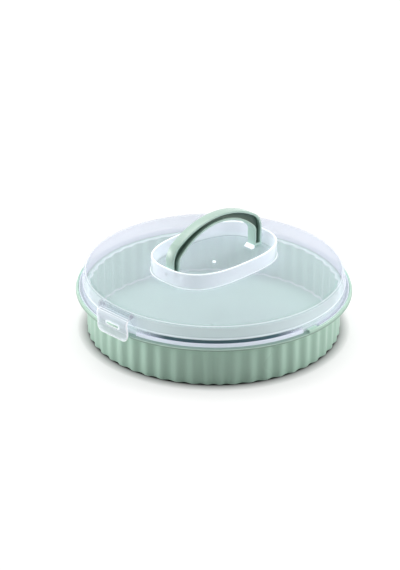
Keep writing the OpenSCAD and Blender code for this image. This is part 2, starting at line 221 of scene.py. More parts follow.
def solidPlastic(name, values):
    material = bpy.data.materials.new(name)
    material.use_nodes = True
    nodes, links = material.node_tree.nodes, material.node_tree.links
    surface = nodes["Principled BSDF"]
    surface.inputs["IOR"].default_value = values["ior"]
    texture = nodes.new("ShaderNodeGroup")
    texture.node_tree = mould
    texture.inputs["Grain Size"].default_value = values["grain"]
    texture.inputs["Roughness"].default_value = values["roughness"]
    texture.inputs["Roughness Spread"].default_value = values["roughnessSpread"]
    blend = nodes.new("ShaderNodeMix")
    blend.data_type = "RGBA"
    blend.inputs["A"].default_value = values["colour"]
    blend.inputs["B"].default_value = values["pale"]
    bump = nodes.new("ShaderNodeBump")
    bump.inputs["Strength"].default_value = values["bump"]
    bump.inputs["Distance"].default_value = values["bumpDistance"]
    # painted light from a vertex attribute: painted shade towards -1, painted highlight towards 1
    paintedLight = nodes.new("ShaderNodeAttribute")
    paintedLight.attribute_name = "paintedLight"
    colour = blend.outputs["Result"]
    for end, value in ((-1, values["paintedShade"]), (1, values["paintedHighlight"])):
        share = nodes.new("ShaderNodeMapRange")
        share.inputs["From Max"].default_value = end
        change = nodes.new("ShaderNodeMix")
        change.data_type = "RGBA"
        links.new(paintedLight.outputs["Fac"], share.inputs["Value"])
        links.new(share.outputs["Result"], change.inputs["Factor"])
        links.new(colour, change.inputs["A"])
        change.inputs["B"].default_value = value
        colour = change.outputs["Result"]
    links.new(texture.outputs["Mottle"], blend.inputs["Factor"])
    links.new(colour, surface.inputs["Base Color"])
    links.new(texture.outputs["Roughness"], surface.inputs["Roughness"])
    links.new(texture.outputs["Height"], bump.inputs["Height"])
    links.new(bump.outputs["Normal"], surface.inputs["Normal"])
    return material


def hazyPlastic(name, values):
    # clear plastic that covers more where it is milky or seen edge on, and casts almost no shadow; milky parts glow
    # with painted light
    material = bpy.data.materials.new(name)
    material.use_nodes = True
    nodes, links = material.node_tree.nodes, material.node_tree.links

    def feed(socket, term):
        # from another node's output, or a plain value
        if hasattr(term, "links"):
            links.new(term, socket)
        else:
            socket.default_value = term

    def calculate(how, *terms):
        step = nodes.new("ShaderNodeMath")
        step.operation = how
        for socket, term in zip(step.inputs, terms):
            feed(socket, term)
        return step.outputs[0]

    def blend(amount, one, other):
        mix = nodes.new("ShaderNodeMix")
        mix.data_type = "RGBA"
        for label, term in (("Factor", amount), ("A", one), ("B", other)):
            feed(mix.inputs[label], term)
        return mix.outputs["Result"]

    surface, output = nodes["Principled BSDF"], nodes["Material Output"]
    for label, value in (("Roughness", "roughness"), ("IOR", "ior"), ("Specular IOR Level", "specular"),
                         ("Emission Strength", "glow")):
        surface.inputs[label].default_value = values[value]
    hazeAndPaintedLight = nodes.new("ShaderNodeAttribute")
    hazeAndPaintedLight.attribute_name = "hazeAndPaintedLight"
    weight = nodes.new("ShaderNodeLayerWeight")
    weight.inputs["Blend"].default_value = 0.5
    edgeOn = calculate("POWER", weight.outputs["Facing"], values["edgePower"])
    white = calculate("MAXIMUM", hazeAndPaintedLight.outputs["Fac"], 0.0)
    # painted shade where milk is below 0
    paintedDark = calculate("MAXIMUM", calculate("MULTIPLY", hazeAndPaintedLight.outputs["Fac"], -1.0), 0.0)
    strength = calculate("ABSOLUTE", hazeAndPaintedLight.outputs["Fac"])
    colour = blend(paintedDark, blend(white, values["veil"], values["white"]), values["paintedDark"])
    links.new(colour, surface.inputs["Base Color"])
    # painted glow: milky parts emit white, though they are no lamp
    paintedGlowColour = blend(calculate("POWER", white, values["paintedGlowPower"]), (0, 0, 0, 1), values["white"])
    links.new(paintedGlowColour, surface.inputs["Emission Color"])
    atEdge = calculate("MULTIPLY", edgeOn, values["coverEdge"] - values["cover"])
    atMilk = calculate("MULTIPLY", strength, values["coverMilk"] - values["cover"])
    links.new(calculate("ADD", calculate("MAXIMUM", atEdge, atMilk), values["cover"]), surface.inputs["Alpha"])
    through = nodes.new("ShaderNodeBsdfTransparent")
    through.inputs["Color"].default_value = values["lightThrough"]
    path = nodes.new("ShaderNodeLightPath")
    pick = nodes.new("ShaderNodeMixShader")
    links.new(path.outputs["Is Shadow Ray"], pick.inputs["Fac"])
    links.new(surface.outputs["BSDF"], pick.inputs[1])
    links.new(through.outputs["BSDF"], pick.inputs[2])
    links.new(pick.outputs["Shader"], output.inputs["Surface"])
    return material


greenPlastic = solidPlastic("greenPlastic", greenPlasticValues)
handlePlastic = solidPlastic("handlePlastic", handlePlasticValues)
clipPlastic = hazyPlastic("clipPlastic", clipPlasticValues)
lidPlastic = hazyPlastic("lidPlastic", lidPlasticValues)
print("materials made")


tubValues = {
    # lengths are in mm and angles in degrees; fluteAxis is the middle of the front
    "crest": 147.2, "fluteDepth": 2.3, "flutes": 50, "fluteAxis": 225.0, "narrowFlute": 5.4,
    "wall": 1.8, "floor": 2.4, "foot": 140.4, "footGap": 1.2, "footRound": 0.8, "fillet": 2.0,
    "underRim": 49.7, "rimTop": 51.9, "rimRadius": 159.95, "plateInner": 150, "plateUnder": 152,
    # flat in the rim behind the clip
    "windowRadius": 156.8, "windowHalf": 25.55,
    # radii of rings on the floor, heights of rings outside and inside the wall
    "floorRings": (60, 110), "outerRings": (6, 14, 26, 38), "innerRings": (45, 34, 24, 15),
    # gate mark in the middle of the floor
    "gate": 3.0, "gateHeight": 0.6,
    # painted shade on the rim's side and on its top, and painted highlight on the wall's inner edge and the fillet
    "rimPaintedShade": -0.4, "platePaintedShade": -0.6, "linePaintedHighlight": 0.9,
    # angles round the rim count from the clip
    "lipRadius": 157.2, "lipWall": 1.6, "lipHeight": 3.0, "lips": ((87.5, 157.0), (293.2, 350.2)),
    "tabStart": 87.5, "tabAngle": 5.0, "tabInner": 153.25,
    "hookHalf": 8.7, "hookEdge": 0.35, "stepsPerFlute": 12, "lipSteps": 110,
}


def flutePhase(v, angle):
    # a narrow flute on each side of the middle of the front, then even ones
    off = abs((angle - v["fluteAxis"] + 540) % 360 - 180)
    if off < v["narrowFlute"]:
        return tau * off / v["narrowFlute"]
    return tau * (off - v["narrowFlute"]) * (v["flutes"] / 2 - 1) / (180 - v["narrowFlute"])


def makeTub(v):
    crest, floor, under, top, rim = v["crest"], v["floor"], v["underRim"], v["rimTop"], v["rimRadius"]
    inner = crest - v["wall"]
    fillet = v["fillet"]
    foot, gap, bend = v["foot"], v["footGap"], v["footRound"]
    side, plate, paintedHighlight = v["rimPaintedShade"], v["platePaintedShade"], v["linePaintedHighlight"]
    # radius, height, share of the flute depth, painted light (painted shade below 0, painted highlight above 0)
    line = [(r, 0, 0) for r in (0, *v["floorRings"], foot - 0.4)] + [(foot, 0.4, 0), (foot, gap, 0)]
    line += [(crest - bend + bend * sin(radians(a)), gap + bend - bend * cos(radians(a)), 1)
             for a in range(0, 91, 15)]
    line += [(crest, z, 1) for z in (*v["outerRings"], under - 3, under - 1.6)]
    line += [(crest + 1.2, under - 1.2, 0), (v["plateUnder"], under - 0.85, 0), (rim - 1.4, under - 0.3, 0),
             (rim - 0.4, under + 0.05, 0), (rim, under + 0.5, 0, side), (rim, top - 0.9, 0, side),
             (rim - 0.2, top - 0.4, 0, 0.75 * side), (rim - 0.8, top - 0.05, 0, plate / 2),
             (rim - 1.6, top, 0, plate), (v["plateInner"], top, 0, plate), (inner + 0.5, top, 1, paintedHighlight * 2 / 3),
             (inner + 0.15, top - 0.15, 1, paintedHighlight), (inner, top - 0.5, 1, paintedHighlight), (inner, top - 1.2, 1)]
    line += [(inner, z, 1) for z in (*v["innerRings"], floor + fillet + 0.6)]
    # painted highlight along the fillet, strongest where it meets the floor
    line += [(inner - fillet + fillet * sin(radians(a)), floor + fillet - fillet * cos(radians(a)), 1,
              paintedHighlight * cos(radians(a))) for a in range(90, -1, -15)]
    line += [(inner - fillet - 0.8, floor, 1), (inner - 12, floor, 0)]
    line += [(r, floor, 0) for r in (*reversed(v["floorRings"]), v["gate"] + 0.4)]
    line += [(v["gate"], floor + 0.2, 0), (v["gate"] - 0.4, floor + v["gateHeight"], 0),
             (0, floor + v["gateHeight"], 0)]
    bm = bmesh.new()
    wave, paintedLight = bm.verts.layers.float.new("wave"), bm.verts.layers.float.new("paintedLight")
    ring = []
    for point in line:
        vert = bm.verts.new((point[0] * mm, 0, point[1] * mm))
        vert[wave] = point[2]
        vert[paintedLight] = point[3] if len(point) > 3 else 0
        ring.append(vert)
    edges = [bm.edges.new(pair) for pair in zip(ring, ring[1:])]
    bmesh.ops.spin(bm, geom=ring + edges, cent=(0, 0, 0), axis=(0, 0, 1), angle=tau,
                   steps=v["flutes"] * v["stepsPerFlute"], use_merge=True, use_duplicate=False)
    bmesh.ops.remove_doubles(bm, verts=bm.verts, dist=weld)
    # the flutes press the wall in, and the rim is cut flat behind the clip
    for vert in bm.verts:
        share = vert[wave]
        if share:
            angle = atan2(vert.co.y, vert.co.x)
            dip = v["fluteDepth"] / 2 * (1 + cos(flutePhase(v, degrees(angle))))
            r = hypot(vert.co.x, vert.co.y) - share * dip * mm
            vert.co.x, vert.co.y = r * cos(angle), r * sin(angle)
        if vert.co.x < -v["windowRadius"] * mm and abs(vert.co.y) < v["windowHalf"] * mm:
            vert.co.x = -v["windowRadius"] * mm
    return bm


def makeLips(v):
    lipIn, top, rise = v["lipRadius"], v["rimTop"], v["lipHeight"]
    out, tab = lipIn + v["lipWall"], v["tabInner"]
    lip = spinProfile([(tab, top + rise - 1.0), (tab + 0.25, top + rise - 1.2), (lipIn + 0.6, top + rise - 1.2),
                       (lipIn + 0.6, top + rise + 0.35), (tab + 0.35, top + rise + 0.35), (tab, top + rise + 0.1)],
                      8, v["tabStart"], v["tabStart"] + v["tabAngle"])
    for start, end in v["lips"]:
        joinInto(lip, spinProfile([(lipIn, top - 0.6), (out + 0.7, top - 0.8), (out + 0.35, top + rise - 1.3),
                                   (out - 0.05, top + rise - 0.35), (out - 0.45, top + rise),
                                   (lipIn + 0.35, top + rise), (lipIn + 0.08, top + rise - 0.12),
                                   (lipIn, top + rise - 0.4)], v["lipSteps"], start, end))
    turnToClip(lip)
    return lip


def makeHook(v):
    edge, top = v["windowRadius"], v["rimTop"]
    hook = slab([(edge - 2.2, top - 1.6), (edge + 0.1, top - 1.6), (edge + 0.1, top + 5.0), (edge + 0.5, top + 5.4),
                 (edge + 3.1, top + 5.4), (edge + 4.3, top + 6.1), (edge + 4.4, top + 6.6), (edge + 4.3, top + 7.4),
                 (edge + 3.8, top + 8), (edge - 1.9, top + 8), (edge - 2.2, top + 7.7)], 2 * v["hookHalf"])
    softenEdges(hook, v["hookEdge"], angle=70)
    turnToClip(hook)
    return hook


tubShape = makeTub(tubValues)
joinInto(tubShape, makeLips(tubValues))
joinInto(tubShape, makeHook(tubValues))
tub = finishObject(tubShape, "tubMoulding", smooth=32)
dress(tub, "tub", "tub", greenPlastic)
print("tub made,", len(tub.data.polygons), "faces")


lidValues = {
    "wall": 1.8, "bottom": 52.2, "stepTop": 61.0, "edge": 75.5, "cornerRadius": 148.2, "cornerRound": 2.8,
    "skirt": 151.0, "skirtMiddle": 67.5, "step": 152.4, "stepMiddle": 56.5,
    "domeTop": 85.4, "domeRise": 9.9, "dishFloor": 82.7,
    "collarLong": 77.8, "collarWide": 53.5, "collarPower": 2.7, "collarTop": 101.5,
    # milk (haze and painted light) runs from -1, painted shade, over 0, clear, to 1, white haze and painted
    # highlight; cornerShade is a ring of painted shade inside the dome's corner
    "domeMilk": 0.25, "skirtMilk": 0.46, "collarMilk": 0.55, "dishMilk": 0.28, "cornerShade": -0.18,
    "beadRadius": 154.5, "beadHeight": 4.1, "gapFade": 14.0,
    # where each bead starts and ends, in degrees round the rim from the clip, its milk, partly painted highlight, and
    # the painted shade of the gap above it
    "beads": ((10.8, 85.5, 0.6, 1), (156.5, 293.7, 0.1, 0)),
    "flangeRadius": 156.4, "flangeHeight": 2.2, "flangeLift": 0.2, "flanges": ((94.5, 157.0), (293.2, 349.2)),
    # wedges beside the handle's feet, bosses for its pins, and the gate mark, each with its milk
    "wedgeInner": 60.2, "wedgeLong": 5.0, "wedgeHigh": 3.4, "wedgeWide": 12.4, "wedgeEdge": 0.25, "wedgeMilk": 0.8,
    "boss": 4.2, "bossMilk": 0.25, "gate": 2.0, "gateMilk": 0.9,
    "hingeRadius": 154.5, "hingeHeight": 75.1, "cheekFrom": 24.55, "cheekWidth": 2.1, "cheekEdge": 0.3,
    "pivotHeight": 93.0, "legOuter": 72.3, "around": 480,
}


def makeLidShell(v):
    wall, count = v["wall"], v["around"]
    sphere = (v["cornerRadius"] ** 2 + v["domeRise"] ** 2) / (2 * v["domeRise"])

    def domeAt(r, drop):
        return v["domeTop"] - sphere + sqrt((sphere - drop) ** 2 - r * r)

    def oval(grow):
        a, b, power = v["collarLong"] + grow, v["collarWide"] + grow, 2 / v["collarPower"]

        def at(t):
            c, s = cos(t), sin(t)
            return (a * (1 if c > 0 else -1) * abs(c) ** power, b * (1 if s > 0 else -1) * abs(s) ** power)
        return at

    def circle(r):
        return lambda t: (r * cos(t), r * sin(t))

    def between(one, other, share):
        def at(t):
            p, q = one(t), other(t)
            return (p[0] + (q[0] - p[0]) * share, p[1] + (q[1] - p[1]) * share)
        return at

    floor, top, edge = v["dishFloor"], v["collarTop"], v["edge"]
    corner, bend, skirt, rim, step = v["cornerRadius"], v["cornerRound"], v["skirt"], v["step"], v["stepTop"]
    inside, clear, haze, dish = -wall, v["skirtMilk"], v["domeMilk"], v["dishMilk"]
    # outline of each ring, its height or a rule for the height, and its haze and painted light
    rings = [(oval(inside - 1.2), floor, dish), (oval(inside - 0.5), floor + 0.15, 0.3),
             (oval(inside - 0.12), floor + 0.5, 0.4), (oval(inside), floor + 1.2, v["collarMilk"]),
             (oval(inside), floor + 9, v["collarMilk"]), (oval(inside), top - 1.6, v["collarMilk"]),
             # whiter rings at the collar's top are a painted highlight line
             (oval(inside), top - 0.7, 0.7), (oval(inside + 0.2), top - 0.2, 0.9), (oval(inside + 0.7), top, 0.9),
             (oval(-0.7), top, 0.9), (oval(-0.2), top - 0.2, 0.9), (oval(0), top - 0.7, 0.8),
             (oval(0), top - 1.6, v["collarMilk"]), (oval(0), floor + 9, v["collarMilk"])]
    # whiter rings round the collar's foot are a painted highlight line
    rings += [(oval(grow), lambda p, lift=lift: domeAt(p, 0) + lift, hazeAndPaintedLight)
              for grow, lift, hazeAndPaintedLight in ((0, 1.7, v["collarMilk"]), (0, 1.0, 0.6), (0.12, 0.5, 0.75), (0.5, 0.12, 0.75),
                                       (1.3, 0, 0.35), (2.4, 0, haze))]
    rings += [(between(oval(2.4), circle(corner - 4), k / 11), lambda p: domeAt(p, 0), haze) for k in range(1, 12)]
    # painted shade in a ring inside the dome's corner, then a painted highlight on the corner
    rings += [(circle(corner - 3.4), lambda p: domeAt(p, 0), v["cornerShade"]),
              (circle(corner - 1.6), lambda p: domeAt(p, 0), v["cornerShade"]),
              (circle(corner - 0.9), lambda p: domeAt(p, 0), 0.2), (circle(corner), edge, 0.5)]
    rings += [(circle(corner + bend * sin(radians(a))), edge - bend + bend * cos(radians(a)), hazeAndPaintedLight)
              for a, hazeAndPaintedLight in ((15, 0.6), (30, 0.3), (45, 0.05), (60, clear), (75, clear), (90, clear))]
    bottom, skirtAt, stepAt = v["bottom"], v["skirtMiddle"], v["stepMiddle"]
    # rings just above the step carry a painted highlight line
    rings += [(circle(skirt), skirtAt, clear), (circle(skirt), step + 2.4, clear), (circle(skirt), step + 1.5, 0.4),
              (circle(skirt + 0.25), step + 0.8, 0.6), (circle(rim - 0.35), step, 0.6),
              (circle(rim), step - 0.4, 0.2), (circle(rim), stepAt, clear), (circle(rim), bottom + 0.3, clear),
              (circle(rim - 0.3), bottom, clear), (circle(rim - wall + 0.3), bottom, clear),
              (circle(rim - wall), bottom + 0.3, clear), (circle(rim - wall), step - 1.4, clear),
              (circle(skirt - wall), step - 0.1, clear), (circle(skirt - wall), skirtAt, clear)]
    rings += [(circle(corner + (bend - wall) * sin(radians(a))), edge - bend + (bend - wall) * cos(radians(a)), clear)
              for a in range(90, 14, -25)]
    rings += [(between(circle(corner), oval(0), k / 12), lambda p: domeAt(p, wall), haze) for k in range(0, 13)]
    rings += [(oval(inside), floor - wall, dish), (oval(inside - 6), floor - wall, dish)]

    bm = bmesh.new()
    hazeAndPaintedLightLayer = bm.verts.layers.float.new("hazeAndPaintedLight")
    bmesh.ops.create_circle(bm, cap_ends=True, segments=count, radius=1)
    bm.verts.ensure_lookup_table()
    order = sorted(bm.verts, key=lambda vert: atan2(vert.co.y, vert.co.x) % tau)
    turns = [tau * (i + 0.5) / count for i in range(count)]

    def settle(verts, outline, height, hazeAndPaintedLight):
        for vert, t in zip(verts, turns):
            vert[hazeAndPaintedLightLayer] = hazeAndPaintedLight
            x, y = outline(t)
            z = height(sqrt(x * x + y * y)) if callable(height) else height
            vert.co = (x * mm, y * mm, z * mm)

    # each ring is drawn out of the last one and put where its outline says
    settle(order, *rings[0])
    edges = bm.edges[:]
    for outline, height, hazeAndPaintedLight in rings[1:]:
        out = bmesh.ops.extrude_edge_only(bm, edges=edges)["geom"]
        pairs = {}
        made = [g for g in out if isinstance(g, bmesh.types.BMVert)]
        edges = [g for g in out if isinstance(g, bmesh.types.BMEdge) and g.verts[0] in made and g.verts[1] in made]
        for vert in made:
            for e in vert.link_edges:
                other = e.other_vert(vert)
                if other not in made:
                    pairs[other] = vert
        order = [pairs[vert] for vert in order]
        settle(order, outline, height, hazeAndPaintedLight)
    bmesh.ops.contextual_create(bm, geom=edges)
    bmesh.ops.recalc_face_normals(bm, faces=bm.faces)
    return bm


def makeBead(v):
    rim, low = v["step"], v["bottom"]
    far, high = v["beadRadius"], v["bottom"] + v["beadHeight"]
    bead = bmesh.new()
    bead.verts.layers.float.new("hazeAndPaintedLight")
    for start, end, hazeAndPaintedLight, paintedDark in v["beads"]:
        joinInto(bead, spinProfile([(rim - 0.6, low + 0.02, hazeAndPaintedLight), (far - 0.35, low + 0.02, hazeAndPaintedLight),
                                    (far - 0.08, low + 0.12, hazeAndPaintedLight), (far, low + 0.4, hazeAndPaintedLight), (far, high - 1.5, hazeAndPaintedLight),
                                    (far - 0.15, high - 1.0, hazeAndPaintedLight), (far - 0.6, high - 0.5, 0.9 * hazeAndPaintedLight),
                                    (far - 1.2, high - 0.2, 0.7 * hazeAndPaintedLight), (rim - 0.6, high, 0.7 * hazeAndPaintedLight)],
                                   round(end - start), start, end))
        if not paintedDark:
            continue
        # a thin dark skin of painted shade, in place of the shaded gap between bead and step seen through the skirt,
        # fading out at its ends
        gap = spinProfile([(rim + 0.01, high - 0.3), (rim + 0.12, high - 0.2), (rim + 0.12, v["stepTop"] - 1.2),
                           (rim + 0.01, v["stepTop"] - 0.8)], round(end - start), start, end)
        layer = gap.verts.layers.float.get("hazeAndPaintedLight")
        for vert in gap.verts:
            angle = degrees(atan2(vert.co.y, vert.co.x)) % 360
            vert[layer] = -paintedDark * max(0, min(1, (angle - start) / v["gapFade"], (end - angle) / v["gapFade"]))
        joinInto(bead, gap)
    turnToClip(bead)
    return bead


def makeFlange(v):
    # flat flange that fills the gap to the raised lips of the tub
    rim, low = v["step"], v["bottom"] + v["flangeLift"]
    far, high = v["flangeRadius"], low + v["flangeHeight"]
    flange = bmesh.new()
    flange.verts.layers.float.new("hazeAndPaintedLight")
    for start, end in v["flanges"]:
        # the flange's outer edge is whiter, a painted highlight line
        joinInto(flange, spinProfile([(rim - 0.6, low, 0.2), (far - 0.4, low, 0.4), (far - 0.1, low + 0.12, 0.6),
                                      (far, low + 0.4, 0.7), (far, high - 0.4, 0.7), (far - 0.1, high - 0.12, 0.7),
                                      (far - 0.4, high, 0.7), (far - 1.1, high, 0.25), (rim - 0.6, high, 0.2)],
                                     round(end - start), start, end))
    turnToClip(flange)
    return flange


def makeCheeks(v):
    hx, hz, skirt = v["hingeRadius"], v["hingeHeight"], v["skirt"]
    shape = [(skirt - 2.7, v["stepTop"] + 2), (skirt + 0.6, v["stepTop"] + 1.6), (hx + 2.6, hz - 3.6),
             (hx + 3.1, hz - 1.6), (hx + 3.4, hz), (hx + 2.9, hz + 1.7), (hx + 1.7, hz + 2.9), (hx, hz + 3.4),
             (hx - 1.8, hz + 3.0), (skirt - 1.9, v["edge"] - 0.9), (skirt - 2.7, v["edge"] - 1.8)]
    cheeks = bmesh.new()
    for side in (-1, 1):
        one = slab(shape, v["cheekWidth"])
        softenEdges(one, v["cheekEdge"], angle=60)
        bmesh.ops.translate(one, verts=one.verts, vec=(0, side * (v["cheekFrom"] + v["cheekWidth"] / 2) * mm, 0))
        joinInto(cheeks, one)
    turnToClip(cheeks)
    return cheeks


def makeLugs(v):
    floor, far = v["dishFloor"], v["wedgeInner"]
    near, high = far - v["wedgeLong"], floor + v["wedgeHigh"]
    lugs = slab([(near, floor - 0.4), (far, floor - 0.4), (far, high), (far - 0.8, high), (near, floor)],
                v["wedgeWide"])
    softenEdges(lugs, v["wedgeEdge"], angle=40)
    whiten(lugs, v["wedgeMilk"])
    start = v["legOuter"] + 0.3
    length = v["collarLong"] - v["wall"] - start + 0.6
    boss = rod(v["boss"], length, (start + length / 2, 0, v["pivotHeight"]), (1, 0, 0))
    whiten(boss, v["bossMilk"])
    joinInto(lugs, boss)
    bothEnds(lugs)
    gate = rod(v["gate"], 1.1, (0, 0, floor + 0.05), (0, 0, 1), 32)
    whiten(gate, v["gateMilk"])
    joinInto(lugs, gate)
    return lugs


lidShape = makeLidShell(lidValues)
for shape in (makeBead(lidValues), makeFlange(lidValues), makeCheeks(lidValues), makeLugs(lidValues)):
    joinInto(lidShape, shape)
lid = finishObject(lidShape, "lidShell", smooth=35)
dress(lid, "lid", "lid", lidPlastic)
print("lid made,", len(lid.data.polygons), "faces")


handleValues = {
    "width": 11.6, "pivot": 93.0, "crown": 143.9, "crownDepth": 10.5,
    "legOuter": 72.3, "legInner": 60.7, "arch": 112.6, "shoulder": 24.6, "under": 82.5, "underCorner": 9.1,
    "foot": 83.9, "flange": 2.7, "web": 2.2, "grooveDraft": 0.25, "edge": 0.45, "pin": 2.0, "pinLength": 5.3,
    # segments in each arc of the outline
    "steps": 20,
}


def makeHandle(v):
    bm = bmesh.new()
    paintedLight = bm.verts.layers.float.new("paintedLight")
    half = v["width"] / 2 * mm

    def archEdge(crown, leg, big, small):
        # from the middle of the crown, round the shoulder, to the top of the leg
        cx = leg - small
        cz = crown - big + sqrt((big - small) ** 2 - cx * cx)
        split = atan2(cx, cz - crown + big)
        last = bm.verts.new((0, -half, crown * mm))
        for centre, turn in (((0, crown - big), split), ((cx, cz), pi / 2 - split)):
            out = bmesh.ops.spin(bm, geom=[last], cent=(centre[0] * mm, -half, centre[1] * mm), axis=(0, 1, 0),
                                 angle=turn, steps=v["steps"], use_duplicate=False)
            last = [g for g in out["geom_last"] if isinstance(g, bmesh.types.BMVert)][0]
        return last

    outer = archEdge(v["crown"], v["legOuter"], v["arch"], v["shoulder"])
    inner = archEdge(v["crown"] - v["crownDepth"], v["legInner"], v["under"], v["underCorner"])
    feet = []
    for last, leg in ((outer, v["legOuter"]), (inner, v["legInner"])):
        foot = bm.verts.new((leg * mm, -half, v["foot"] * mm))
        bm.edges.new((last, foot))
        feet.append(foot)
    bm.edges.new(feet)
    bmesh.ops.remove_doubles(bm, verts=bm.verts, dist=weld)
    bmesh.ops.mirror(bm, geom=bm.verts[:] + bm.edges[:], matrix=Matrix(), merge_dist=1e-6, axis="X")
    bmesh.ops.remove_doubles(bm, verts=bm.verts, dist=weld)
    bmesh.ops.contextual_create(bm, geom=bm.edges[:])
    out = bmesh.ops.extrude_face_region(bm, geom=bm.faces[:])
    moved = [g for g in out["geom"] if isinstance(g, bmesh.types.BMVert)]
    bmesh.ops.translate(bm, verts=moved, vec=(0, 2 * half, 0))
    bmesh.ops.recalc_face_normals(bm, faces=bm.faces)
    # a groove in each side leaves the web between the flanges
    sides = [f for f in bm.faces if abs(f.normal.y) > 0.9]
    bmesh.ops.inset_region(bm, faces=sides, thickness=v["flange"] * mm, depth=0, use_even_offset=True,
                           use_boundary=True)
    sides = [f for f in bm.faces if abs(f.normal.y) > 0.9 and len(f.verts) > 8]
    bmesh.ops.inset_region(bm, faces=sides, thickness=v["grooveDraft"] * mm,
                           depth=-(v["width"] - v["web"]) / 2 * mm, use_even_offset=True, use_boundary=True)
    # the groove's floor gets painted shade
    for face in sides:
        for vert in face.verts:
            vert[paintedLight] = -1
    softenEdges(bm, v["edge"], angle=50)
    pins = rod(v["pin"], v["pinLength"], (v["legOuter"] - 1 + v["pinLength"] / 2, 0, v["pivot"]), (1, 0, 0))
    bothEnds(pins)
    joinInto(bm, pins)
    return bm


handleShape = makeHandle(handleValues)
handle = finishObject(handleShape, "carryHandle", smooth=32)
dress(handle, "handle", "handle", handlePlastic)
print("handle made,", len(handle.data.polygons), "faces")


clipValues = {
    "width": 48.5, "wall": 1.9, "corner": 8.0, "barrel": 3.6, "pin": 1.5, "pinReach": 26.45,
    "hingeRadius": 154.5, "hingeHeight": 75.1, "face": 162.2, "length": 31.0,
    "slotHalf": 10.2, "slotLow": 56.6, "slotHigh": 60.5, "slotRound": 0.7, "edge": 0.3,
    # milk along the edges, where it is painted highlight, between them and above the upper bend, and a painted
    # highlight line at a crease
    "border": 1.2, "bend": 27.1, "haze": 0.46, "topEdge": 0.5, "clear": 0, "creaseHighlight": 0.15, "creaseAt": 10.9,
    # (outward, up) along the front, down from the barrel, and along the rear, up from the lower edge
    "front": ((-4.2, 30.4), (-3.5, 28.6), (-2.6, 27.6), (-1.6, 26.6), (-0.9, 25.5), (-0.4, 24.2), (-0.1, 22.8),
              (0, 21.2), (-0.3, 17.9), (-0.9, 14.9), (-1.15, 12.9), (-1.3, 10.9), (-1.2, 9.2), (-1, 7.4),
              (-0.8, 4.4), (-1.2, 0)),
    "rear": ((-1.2, 0), (-0.8, 4.4), (-1, 7.4), (-1.2, 9.2), (-1.3, 10.9), (-1.15, 12.9), (-0.9, 14.9),
             (-0.3, 17.9), (-0.1, 21.2), (-0.25, 22.5), (-0.5, 23.6), (-0.9, 24.5), (-1.4, 25.4), (-3.1, 27.3),
             (-4.3, 28.9)),
}


